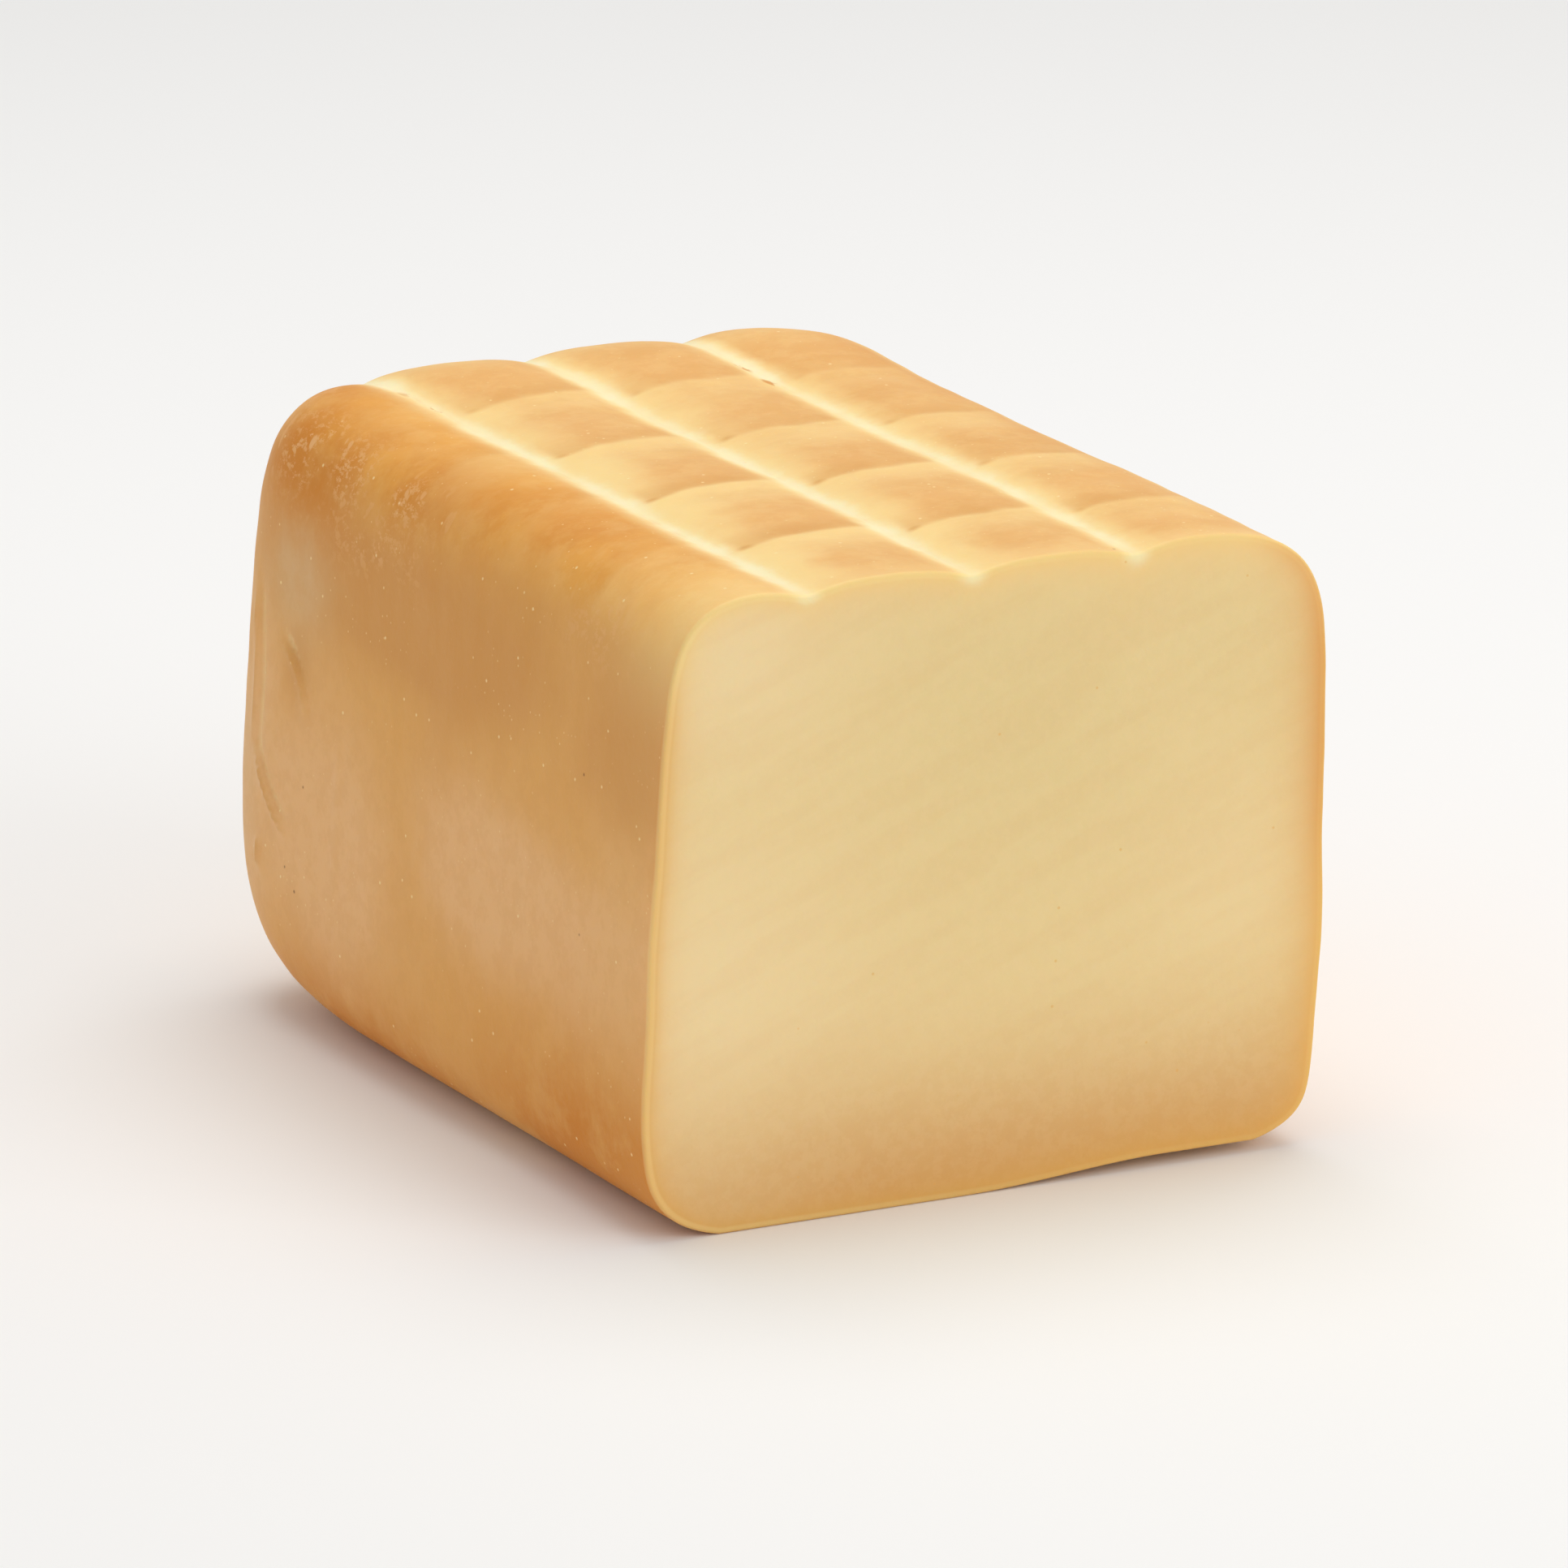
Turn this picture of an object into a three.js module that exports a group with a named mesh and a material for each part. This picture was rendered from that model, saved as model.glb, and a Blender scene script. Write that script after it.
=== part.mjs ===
// Half of a smoked cheese loaf, cut across the middle with a wire. Millimetres, +Z up.
//
// The loaf was cast in a mould and smoked whole, so it is one solid with no parts inside.
// It lies along Y on its flattened underside: the cut face looks towards -Y and the
// uncut, rounded end towards +Y. The origin is the middle of its footprint, on the table.
import * as THREE from "three";

// Driving dimensions, mm.
const WIDTH = 106; // across the section
const HEIGHT = 94; // from the underside to the top, at the cut
const LENGTH = 140; // from the middle of the cut face to the rounded end
const END_LENGTH = 42; // the stretch over which the uncut end rounds off
const END_LIFT = 5.9; // how far the middle of the uncut end rises above the section's middle
const UNDERSIDE_SAG = 1.2; // how much of the curved underside has settled flat
const SIDE_BELLY = 0.8; // how far the left side swells and the right side flattens at half height

// The smoking rack's bars left lengthwise grooves along the top, mm.
const GROOVE_COUNT = 3;
const GROOVE_PITCH = 25.5; // between neighbouring grooves
const GROOVE_CENTRE = -4.6; // the middle groove's place across the loaf
const GROOVE_DEPTH = 1.6;
const GROOVE_ROUNDING = 1; // softens the crease at a groove's bottom
const GROOVE_FADE = 16; // below the top, the height over which a groove dies away

// Angles, degrees.
const CUT_TURN = 3.9; // the cut's plane, away from square across the loaf
const END_TURN = -4.3; // the uncut end's face, away from square

// Proportions without a unit.
const LEAN = 0.031; // sideways for each millimetre of height
const FOOT_SPREAD = 0.031; // the foot's extra width, as a share
const CORNER_BLEND = 3; // how sharply one corner's squareness gives way to the next
const SQUARENESS = { topRight: 6.3, topLeft: 9, bottomRight: 5.5, bottomLeft: 6.9, end: 4.1 };
const END_CURVE = { across: 6.3, upright: 4.9 }; // squareness of the end, seen from above and from the side

// Fineness of the mesh.
const POINTS_AROUND = 108;
const BODY_STEPS = 8;
const END_STEPS = 13;
const RING_CROWDING = 0.36; // below 1, draws the end's rings towards its tip
const LAST_RING = 0.985; // the rounded end closes with a small flat patch

const RIND_MATERIAL = new THREE.MeshStandardMaterial({ color: 0xdda25c, roughness: 0.45, metalness: 0 });

function slope(degrees) {
  return Math.tan(THREE.MathUtils.degToRad(degrees));
}

// The section is a superellipse whose four corners differ; this is its exponent at an angle.
function squarenessAt(angle) {
  const right = (1 + Math.tanh(CORNER_BLEND * Math.cos(angle))) / 2;
  const up = (1 + Math.tanh(CORNER_BLEND * Math.sin(angle))) / 2;
  const top = right * SQUARENESS.topRight + (1 - right) * SQUARENESS.topLeft;
  const bottom = right * SQUARENESS.bottomRight + (1 - right) * SQUARENESS.bottomLeft;
  return up * top + (1 - up) * bottom;
}

// Distance from the section's middle to its outline.
function radiusAt(angle, squareness) {
  const across = Math.abs(Math.cos(angle) / (WIDTH / 2)) ** squareness;
  const upright = Math.abs(Math.sin(angle) / ((HEIGHT + UNDERSIDE_SAG) / 2)) ** squareness;
  return (across + upright) ** (-1 / squareness);
}

// The loaf's own weight leans it, spreads its foot and swells its side.
function settledX(x, z) {
  const height = z / HEIGHT;
  const spread = 1 + FOOT_SPREAD * (1 - 2 * height);
  return x * spread + LEAN * (z - HEIGHT / 2) + SIDE_BELLY * (2 * height - 1) ** 2;
}

// How deep the grooves press into the top at a point of the skin. From each crease the
// cheese rises in a parabola to halfway between grooves, so the lanes swell like pillows.
function grooveDepth(x, z) {
  const topness = THREE.MathUtils.smoothstep(z, HEIGHT - GROOVE_FADE, HEIGHT);
  let depth = 0;
  for (let i = 0; i < GROOVE_COUNT; i += 1) {
    const place = GROOVE_CENTRE + (i - (GROOVE_COUNT - 1) / 2) * GROOVE_PITCH;
    const away = Math.hypot(x - place, GROOVE_ROUNDING) - GROOVE_ROUNDING;
    const nearness = Math.max(1 - away / (GROOVE_PITCH / 2), 0);
    depth += GROOVE_DEPTH * nearness ** 2;
  }
  return depth * topness;
}

// A point of the skin: an angle around the section, and a place along the rounded end,
// from 0 where the end begins to 1 at its tip.
function skinPoint(angle, tip) {
  const square = THREE.MathUtils.lerp(squarenessAt(angle), SQUARENESS.end, tip ** 3);
  const radius = radiusAt(angle, square);
  const narrowing = (1 - tip ** END_CURVE.across) ** (1 / END_CURVE.across);
  const lowering = (1 - tip ** END_CURVE.upright) ** (1 / END_CURVE.upright);
  const middle = (HEIGHT - UNDERSIDE_SAG) / 2 + END_LIFT * tip ** 2;
  const z = Math.max(middle + radius * Math.sin(angle) * lowering, 0);
  const x = settledX(radius * Math.cos(angle) * narrowing, z);
  const y = LENGTH / 2 - END_LENGTH * (1 - tip) + slope(END_TURN) * x * tip;
  return new THREE.Vector3(x, y, z - grooveDepth(x, z));
}

// Body stations run evenly from the cut plane to where the rounded end begins.
function bodyPoint(angle, share) {
  const point = skinPoint(angle, 0);
  const cutY = -LENGTH / 2 - slope(CUT_TURN) * point.x;
  point.y = THREE.MathUtils.lerp(cutY, point.y, share);
  return point;
}

function stationPoint(angle, station) {
  if (station <= BODY_STEPS) {
    return bodyPoint(angle, station / BODY_STEPS);
  }
  const turn = ((station - BODY_STEPS) / END_STEPS) * LAST_RING * (Math.PI / 2);
  return skinPoint(angle, Math.sin(turn) ** RING_CROWDING);
}

// A unit round is extruded in steps, and each of its points is then carried to the loaf's skin.
function loafGeometry() {
  const round = [];
  for (let i = 0; i < POINTS_AROUND; i += 1) {
    const angle = ((i + 0.5) / POINTS_AROUND) * 2 * Math.PI;
    round.push(new THREE.Vector2(Math.cos(angle), Math.sin(angle)));
  }
  const steps = BODY_STEPS + END_STEPS;
  const geometry = new THREE.ExtrudeGeometry(new THREE.Shape(round), {
    depth: steps,
    steps,
    bevelEnabled: false,
  });
  const positions = geometry.getAttribute("position");
  for (let i = 0; i < positions.count; i += 1) {
    const angle = Math.atan2(positions.getY(i), positions.getX(i));
    const station = steps - Math.round(positions.getZ(i));
    const point = stationPoint(angle, station);
    positions.setXYZ(i, point.x, point.y, point.z);
  }
  geometry.computeVertexNormals();
  return geometry;
}

// Puts the middle of the footprint at the origin, with the underside on the table.
function standOnOrigin(geometry) {
  geometry.computeBoundingBox();
  const { min, max } = geometry.boundingBox;
  geometry.translate(-(min.x + max.x) / 2, -(min.y + max.y) / 2, -min.z);
  return geometry;
}

const cheese = new THREE.Mesh(standOnOrigin(loafGeometry()), RIND_MATERIAL);
cheese.name = "cheese_block";

const loaf = new THREE.Group();
loaf.add(cheese);

export default loaf;
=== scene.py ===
"""Half of a smoked cheese loaf, cut across with a wire: an add-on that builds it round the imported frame.

The loaf is processed cheese, cast in a mould and smoked whole on a rack. The rack's bars left three pale
grooves along its top and fainter marks across it, and the smoke turned its skin amber. The cut face shows
the bare, pale cheese with the skin's colour fading in from its edge.
"""
import math

import bpy
import numpy as np
from bpy.props import FloatProperty, FloatVectorProperty, IntProperty, PointerProperty
from bpy.types import Operator, Panel, PropertyGroup
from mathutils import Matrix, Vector


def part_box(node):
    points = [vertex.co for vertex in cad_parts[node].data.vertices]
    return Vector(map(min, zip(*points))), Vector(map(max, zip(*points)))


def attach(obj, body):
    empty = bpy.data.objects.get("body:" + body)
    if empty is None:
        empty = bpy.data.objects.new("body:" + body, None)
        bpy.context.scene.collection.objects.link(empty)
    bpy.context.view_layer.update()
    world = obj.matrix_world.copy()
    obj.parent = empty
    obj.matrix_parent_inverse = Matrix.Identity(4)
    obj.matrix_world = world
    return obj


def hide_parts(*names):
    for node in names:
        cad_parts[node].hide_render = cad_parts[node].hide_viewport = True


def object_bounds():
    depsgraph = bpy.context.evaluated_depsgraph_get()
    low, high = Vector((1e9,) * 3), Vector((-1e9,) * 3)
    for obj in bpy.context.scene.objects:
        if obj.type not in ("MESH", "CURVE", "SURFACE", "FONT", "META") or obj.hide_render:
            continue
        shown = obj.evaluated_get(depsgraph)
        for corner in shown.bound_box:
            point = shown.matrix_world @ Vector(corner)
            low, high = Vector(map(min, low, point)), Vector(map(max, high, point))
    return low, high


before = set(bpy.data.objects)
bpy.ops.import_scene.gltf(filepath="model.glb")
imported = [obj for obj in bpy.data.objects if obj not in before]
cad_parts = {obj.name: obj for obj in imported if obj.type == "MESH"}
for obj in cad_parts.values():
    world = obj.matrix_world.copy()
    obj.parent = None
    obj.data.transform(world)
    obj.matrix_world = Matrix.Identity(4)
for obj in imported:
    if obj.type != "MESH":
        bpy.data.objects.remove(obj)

bl_info = {
    "name": "Smoked cheese half loaf",
    "version": (1, 0, 0),
    "blender": (4, 5, 0),
    "location": "View3D > Sidebar > Cheese",
    "description": "Builds the cut half of a smoked cheese loaf, its rind and its cut face",
    "category": "Add Mesh",
}

CAD_NODE = "cheese_block"
CAD_BOX = [list(corner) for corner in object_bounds()]
NODE_LOW, NODE_HIGH = (np.array(corner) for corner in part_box(CAD_NODE))
MM = 0.001

# Proportions of the loaf's form, without a unit.
CORNER_BLEND = 3.0  # how sharply one corner's squareness gives way to the next
SQUARENESS_TOP = (9.0, 6.3)  # superellipse exponents of the top left and top right corners
SQUARENESS_BOTTOM = (6.9, 8.5)  # and of the bottom left and bottom right ones
SQUARENESS_END = 4.1  # the section's exponent at the tip of the uncut end
END_ACROSS = 6.3  # the uncut end's exponent seen from above
END_UPRIGHT = 4.9  # and seen from the side
LEAN = 0.031  # sideways for each unit of height
FOOT_SPREAD = 0.031  # the foot's extra width, as a share

# Rows and columns of the surface. A face is about a millimetre across.
COLUMNS = 400
FACE_ROWS = 50
RIM_ROWS = 6
BODY_ROWS = 92
END_ROWS = 78
FINE_STEPS = 6000  # the fine table from which even spacing is read off

# Angles of the surface's marks, in the plane of the cut.
WIRE_TILT = math.radians(22)  # the wire's streaks rise to the right across the cut
SCRATCH_TILT = math.radians(-35)  # scratches on the top left edge

# Bends and swellings.
BEND_START = 30 * MM  # how far past the middle the grooves begin to bend
ROW_WAVER = ((0.35, 300, 0), (0.12, 900, 1))  # mm, radians for each metre, phase
SWELLS = ((0.18, 62, 5), (0.10, 19, 6), (0.04, 7, 7))  # height in mm, wavelength in mm, seed
WIRE_WAVES = ((1.0, 900, 2.5, 50, 21), (0.7, 2100, 2.0, 35, 22))  # share, radians for each metre, waver
WIRE_RIDGE = 0.025 * MM
FACE_DISH = 0.18 * MM
FOOT_REACH = 60 * MM  # how far behind the cut the wire's pull still shows


def linear(hex_colour):
    """An sRGB hex colour as linear red, green and blue."""
    channels = [int(hex_colour[i : i + 2], 16) / 255 for i in (1, 3, 5)]
    return tuple(c / 12.92 if c <= 0.04045 else ((c + 0.055) / 1.055) ** 2.4 for c in channels)


def size(name, description, millimetres):
    """A length that a user can change, given in millimetres."""
    return FloatProperty(
        name=name, description=description, default=millimetres * MM, unit="LENGTH", precision=4
    )


def turn(name, description, degrees):
    """An angle that a user can change, given in degrees."""
    return FloatProperty(
        name=name, description=description, default=math.radians(degrees), unit="ROTATION"
    )


def colour(name, description, hex_colour):
    """A colour that a user can change, given as sRGB hex."""
    return FloatVectorProperty(
        name=name, description=description, default=linear(hex_colour), subtype="COLOR", min=0, max=1
    )


class LoafSizes(PropertyGroup):
    """Sizes of the half loaf."""

    width: size("Width", "Across the section", 106)
    height: size("Height", "From the underside to the top, at the cut", 94)
    length: size("Length", "From the middle of the cut face to the uncut end", 140)
    end_length: size("End length", "The stretch over which the uncut end rounds off", 42)
    end_lift: size("End lift", "How far the middle of the uncut end rises", 5.9)
    underside_sag: size("Underside sag", "How much of the curved underside has settled flat", 1.2)
    side_belly: size("Side belly", "How far the left side swells at half height", 0.8)
    rim_radius: size("Rim radius", "Rounding of the edge round the cut face", 0.5)
    foot_tuck: size("Foot tuck", "How far the right side leans in at the foot", 2.2)
    foot_lift: size("Foot lift", "How far the cut's right foot stands off the table", 1.8)
    cut_turn: turn("Cut turn", "The cut's plane, away from square across the loaf", 3.9)
    end_turn: turn("End turn", "The uncut end's face, away from square", -4.3)


class RackMarks(PropertyGroup):
    """Marks that the smoking rack left on the top."""

    groove_count: IntProperty(name="Grooves", description="Lengthwise grooves", default=3)
    groove_pitch: size("Groove pitch", "Between neighbouring grooves", 25.7)
    groove_centre: size("Groove centre", "The middle groove's place across the loaf", -3.3)
    groove_depth: size("Groove depth", "From a lane's crown to a groove's bottom", 1.6)
    groove_rounding: size("Groove rounding", "Softens the crease at a groove's bottom", 1)
    groove_fade: size("Groove fade", "Height below the top over which a groove dies away", 16)
    groove_bend: size("Groove bend", "How far a groove turns left over the last 30 mm of the top", 2.6)
    row_pitch: size("Row pitch", "Between neighbouring marks across the top", 27.5)
    row_first: size("First row", "Where the furthest mark crosses the first lane", 37.5)
    row_lane: size("Row lane step", "How much nearer the cut a mark lies in each lane to the right", 3.4)
    row_step: size("Row step", "How far the surface drops at a mark", 0.2)
    row_bend: size("Row bend", "How far a mark runs back towards its right-hand groove", 2.4)


class CheeseColours(PropertyGroup):
    """Colours of the rind and of the bare cheese."""

    rind: colour("Rind", "Smoked skin on the sides", "#E9AD5D")
    # Also the colour of the painted shade along the top left shoulder and the foot.
    rind_deep: colour("Deep rind", "Skin that took the most smoke", "#D98A2E")
    rind_brown: colour("Brown rind", "Browner skin high on the sides", "#DA9A4E")
    rind_pale: colour("Pale rind", "Beige patches of the sides", "#F1BC7E")
    rind_dull: colour("Dull rind", "Greyer patch near the uncut end", "#E2B983")
    top: colour("Top", "Smoked skin of the lanes along the top", "#EBB168")
    amber: colour("Amber", "Smoked skin of the leftmost lane", "#F0AC4A")
    stain: colour("Stain", "Smoke line behind each mark across the top", "#D99A4B")
    # Also the colour of the painted glow near the cut and of the painted highlight under the top rim.
    unsmoked_and_highlight: colour("Unsmoked", "Skin that the rack kept the smoke from", "#FFDC94")
    stripe: colour("Stripe", "Skin along a groove", "#FFE3A4")
    groove: colour("Groove", "Skin at the bottom of a groove", "#FFF0C2")
    pit: colour("Pit", "Soot in a small hole", "#8A4C10")
    paste: colour("Paste", "Bare cheese of the cut face", "#F1D69C")
    paste_pale: colour("Pale paste", "Creamier bare cheese on the left", "#F9DEAA")
    # Painted shade above the middle of the cut face.
    paste_in_shade: colour("Dull paste", "Greyer bare cheese above the middle", "#E9D196")
    # Also the painted shade and warm reflection towards the base of the cut face.
    paste_shade_and_streak: colour("Warm paste", "Bare cheese towards the base", "#DBA25E")
    paste_edge: colour("Paste edge", "Cheese just under the rind", "#E9B25C")


class StageSettings(PropertyGroup):
    """Camera, lights and floor."""

    azimuth: turn("Azimuth", "Where the camera stands round the loaf", -29.14)
    elevation: turn("Elevation", "How high the camera stands", 17.05)
    distance: size("Distance", "From the camera to the point that it aims at", 1718.4)
    aim: FloatVectorProperty(
        name="Aim",
        description="From the middle of the loaf's box to the point that the camera aims at",
        default=(3.35 * MM, -3.45 * MM, -4.6 * MM),
        subtype="TRANSLATION",
        unit="LENGTH",
        precision=4,
    )
    lens: FloatProperty(name="Lens", description="Focal length in millimetres", default=269.0)
    key_power: FloatProperty(name="Key", description="Overhead light, watts", default=5.6, unit="POWER")
    fill_power: FloatProperty(name="Fill", description="Front light, watts", default=4.2, unit="POWER")
    sky: FloatProperty(name="Sky", description="Strength of the light from all round", default=0.56)
    floor: colour("Floor", "Plain pale floor", "#F8F7F5")


def ease(low, high, value):
    """Rises smoothly from 0 at low to 1 at high: 3t^2 - 2t^3."""
    t = np.clip((value - low) / (high - low), 0, 1)
    return t * t * (3 - 2 * t)


def squareness_at(angle):
    """The section's superellipse exponent: its four corners' values, each weighted by (1 +- tanh) / 2."""
    right = (1 + np.tanh(CORNER_BLEND * np.cos(angle))) / 2
    up = (1 + np.tanh(CORNER_BLEND * np.sin(angle))) / 2
    top = right * SQUARENESS_TOP[1] + (1 - right) * SQUARENESS_TOP[0]
    bottom = right * SQUARENESS_BOTTOM[1] + (1 - right) * SQUARENESS_BOTTOM[0]
    return up * top + (1 - up) * bottom


def radius_at(angle, squareness, sizes):
    """Distance from the section's middle to |x/a|^n + |z/b|^n = 1."""
    across = np.abs(np.cos(angle) / (sizes.width / 2)) ** squareness
    upright = np.abs(np.sin(angle) / ((sizes.height + sizes.underside_sag) / 2)) ** squareness
    return (across + upright) ** (-1 / squareness)


def settled_x(x, z, sizes):
    """Sideways place after the loaf's own weight has leaned it, spread its foot and swelled its side."""
    height = z / sizes.height
    spread = 1 + FOOT_SPREAD * (1 - 2 * height)
    belly = sizes.side_belly * (2 * height - 1) ** 2
    return x * spread + LEAN * (z - sizes.height / 2) + belly


def skin_points(angle, tip, sizes):
    """Points of the smooth skin. angle goes round the section. tip goes from 0, where the uncut end begins,
    to 1 at its tip, and shrinks the section by (1 - tip^m)^(1/m)."""
    square = squareness_at(angle) * (1 - tip**3) + SQUARENESS_END * tip**3
    radius = radius_at(angle, square, sizes)
    narrowing = (1 - tip**END_ACROSS) ** (1 / END_ACROSS)
    lowering = (1 - tip**END_UPRIGHT) ** (1 / END_UPRIGHT)
    middle = (sizes.height - sizes.underside_sag) / 2 + sizes.end_lift * tip**2
    z = np.maximum(middle + radius * np.sin(angle) * lowering, 0)
    x = settled_x(radius * np.cos(angle) * narrowing, z, sizes)
    end_y = sizes.length / 2 - sizes.end_length * (1 - tip)
    y = end_y + math.tan(sizes.end_turn) * x * tip
    return np.stack([x, y, z], axis=-1)


def evenly(values, points, count, closed=False):
    """count values at even distances along the line of points that values trace."""
    steps = np.linalg.norm(np.diff(points, axis=0), axis=-1)
    along = np.concatenate([[0], np.cumsum(steps)])
    wanted = np.linspace(0, along[-1], count, endpoint=not closed)
    return np.interp(wanted, along, values)


def even_angles(sizes):
    """Angles round the section at even distances along its outline."""
    angle = np.linspace(0, 2 * math.pi, FINE_STEPS + 1)
    return evenly(angle, skin_points(angle, 0.0 * angle, sizes), COLUMNS, closed=True)


def even_tips(sizes):
    """Places along the uncut end, from 0 to almost 1, at even distances over its left edge."""
    tip = np.sin(np.linspace(0, math.pi / 2, FINE_STEPS)) ** 0.3
    left = skin_points(np.full_like(tip, math.pi), np.minimum(tip, 1 - 1e-12), sizes)
    return np.minimum(evenly(tip, left, END_ROWS + 2)[1:-1], 1 - 1e-9)


def cut_y(x, sizes):
    """The cut's plane: how far along the loaf it lies at x."""
    return -sizes.length / 2 - math.tan(sizes.cut_turn) * x


def groove_places(y, marks):
    """Each groove's place across the loaf at y: even spacing, less a bend that grows with the square of the
    way past the bend's start."""
    numbers = np.arange(marks.groove_count) - (marks.groove_count - 1) / 2
    past = np.maximum(y[..., None] / BEND_START - 1, 0)
    return marks.groove_centre + numbers * marks.groove_pitch - marks.groove_bend * past**2


def groove_offset(points, marks):
    """Distance across the loaf from the nearest groove's bottom, positive on its right."""
    offsets = points[..., 0, None] - groove_places(points[..., 1], marks)
    nearest = np.abs(offsets).argmin(axis=-1)
    return np.take_along_axis(offsets, nearest[..., None], axis=-1)[..., 0]


def lane_place(points, marks):
    """The lane that a point is in, from -1 left of the first groove, and its place across that lane, from 0
    at the lane's left groove to 1 at its right one."""
    offsets = points[..., 0, None] - groove_places(points[..., 1], marks)
    lane = (offsets >= 0).sum(axis=-1) - 1
    left = np.take_along_axis(offsets, np.maximum(lane, 0)[..., None], axis=-1)[..., 0]
    across = np.where(lane < 0, left / marks.groove_pitch + 1, left / marks.groove_pitch)
    return lane, np.clip(across, 0, 1)


def row_number(points, marks):
    """Counts the marks across the top: a whole number on each mark, growing towards the cut. A mark lies
    nearer the cut in each lane further right, and runs back a little towards the lane's right groove."""
    lane, across = lane_place(points, marks)
    waver = sum(high * MM * np.sin(points[..., 0] * turns + phase) for high, turns, phase in ROW_WAVER)
    line = marks.row_first - marks.row_lane * lane + marks.row_bend * ease(0.55, 1.0, across) + waver
    return (line - points[..., 1]) / marks.row_pitch


def topness(points, sizes, marks):
    """1 on the top, fading to 0 down the sides and the uncut end."""
    return ease(sizes.height - marks.groove_fade, sizes.height, points[..., 2])


def row_strength(points, marks):
    """How plainly the marks across the top show: faint on the outermost left lane, weaker towards the right
    and towards the uncut end."""
    lane, across = lane_place(points, marks)
    by_lane = np.choose(np.clip(lane + 1, 0, 3), [0.35, 1.0, 0.95, 0.65])
    right_edge = 1 - ease(0.6, 1.0, across) * (lane == marks.groove_count - 1)
    return by_lane * right_edge * (0.55 + 0.45 * ease(-0.5, 2.0, row_number(points, marks)))


def shaded_side(points, marks):
    """0 in the part of a lane that the bar on its left kept from the smoke, rising to 1 across the lane. That
    part is narrower in each lane to the right and near the uncut end."""
    lane, across = lane_place(points, marks)
    width = np.choose(np.clip(lane + 1, 0, 3), [0.2, 0.46, 0.40, 0.26])
    width = width * (0.5 + 0.5 * ease(-0.7, 0.3, row_number(points, marks)))
    return np.clip(across / width, 0, 1)


def rack_relief(points, sizes, marks):
    """Depth of the rack's marks. A lane is a flat-topped pillow between two creases: its depth is the cube
    of the nearness to a crease. Across it, each mark drops by a small step and the surface climbs back over
    most of the way to the next."""
    away = np.hypot(groove_offset(points, marks), marks.groove_rounding) - marks.groove_rounding
    nearness = np.maximum(1 - away / (marks.groove_pitch / 2), 0)
    grooves = marks.groove_depth * nearness**3
    along = row_number(points, marks) % 1.0
    step = marks.row_step * ease(0, 0.08, along) * (1 - ease(0.07, 0.7, along))
    clear = ease(0.5 * MM, 5 * MM, away) * np.where(lane_place(points, marks)[0] < 0, 0.35, 1.0)
    return (grooves + step * clear * row_strength(points, marks)) * topness(points, sizes, marks)


def swell(points, wavelength, seed):
    """A smooth random field between about -1 and 1: ten sine waves in seeded directions."""
    random = np.random.default_rng(seed)
    directions = random.normal(size=(10, 3))
    directions /= np.linalg.norm(directions, axis=1, keepdims=True)
    phases = random.uniform(0, 2 * math.pi, 10)
    waves = np.sin(points @ directions.T * (2 * math.pi / wavelength) + phases)
    return waves.sum(axis=-1) / 4.5


# Creases pressed into the left side, most of them near the uncut end, in mm: where each starts and ends
# along the loaf and up it, how far it bows, its depth, which is below 0 for a ridge, and its half width.
CREASES = (
    ((50.5, 61), (40.5, 50), -1.3, -0.5, 0.9),
    ((49, 58.5), (41, 49.5), -1.3, 0.6, 0.9),
    ((58.5, 68), (56.5, 40), -1.0, -0.4, 0.8),
    ((60.5, 66), (59, 40), -1.0, 0.5, 0.9),
    ((57.5, 41), (45, 30), 1.6, 0.7, 0.8),
    ((57.5, 43.5), (46, 32.5), 1.6, -0.4, 0.8),
    ((55.5, 27.5), (54.5, 22.5), 0.3, 0.6, 0.8),
    ((31, 50), (30.5, 24), -0.8, 0.2, 0.8),
    ((5, 52), (6, 34), -2.0, 0.15, 0.8),
)


def pulled_foot(points, sizes):
    """Points of the skin after the wire has pulled at the foot. Just behind the cut the right side leans in
    towards its foot, and the underside's right half curls up off the table."""
    x, y, z = np.moveaxis(points, -1, 0)
    near_cut = 1 - ease(0, FOOT_REACH, y - cut_y(x, sizes))
    pulled = points.copy()
    pulled[..., 0] -= sizes.foot_tuck * near_cut * ease(0, 45 * MM, x) * (1 - ease(4 * MM, 42 * MM, z))
    curl = near_cut * ease(-5 * MM, 30 * MM, x) * (1 - ease(0, 9 * MM, z))
    pulled[..., 2] += sizes.foot_lift * curl
    return pulled


def crease_depths(points):
    """Depth of the creases on the left side: a bell across an arc from a start to an end."""
    flat = points[..., 1:] / MM
    total = np.zeros(points.shape[:-1])
    for start, end, bow, depth, half_width in CREASES:
        chord = np.subtract(end, start)
        length = np.hypot(*chord)
        along = ((flat - start) @ chord) / length**2
        across = ((flat - start) @ np.array([-chord[1], chord[0]])) / length
        arc = bow * 4 * along * (1 - along)
        fade = ease(-0.1, 0.25, along) * (1 - ease(0.75, 1.1, along))
        total += depth * MM * fade * np.exp(-(((across - arc) / half_width) ** 2))
    return total * (points[..., 0] < 0)


def outward(points):
    """Unit normals of a grid of points that closes on itself round its columns."""
    round_way = np.roll(points, -1, axis=1) - np.roll(points, 1, axis=1)
    long_way = np.gradient(points, axis=0)
    normal = np.cross(round_way, long_way)
    return normal / np.maximum(np.linalg.norm(normal, axis=-1, keepdims=True), 1e-12)


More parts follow.
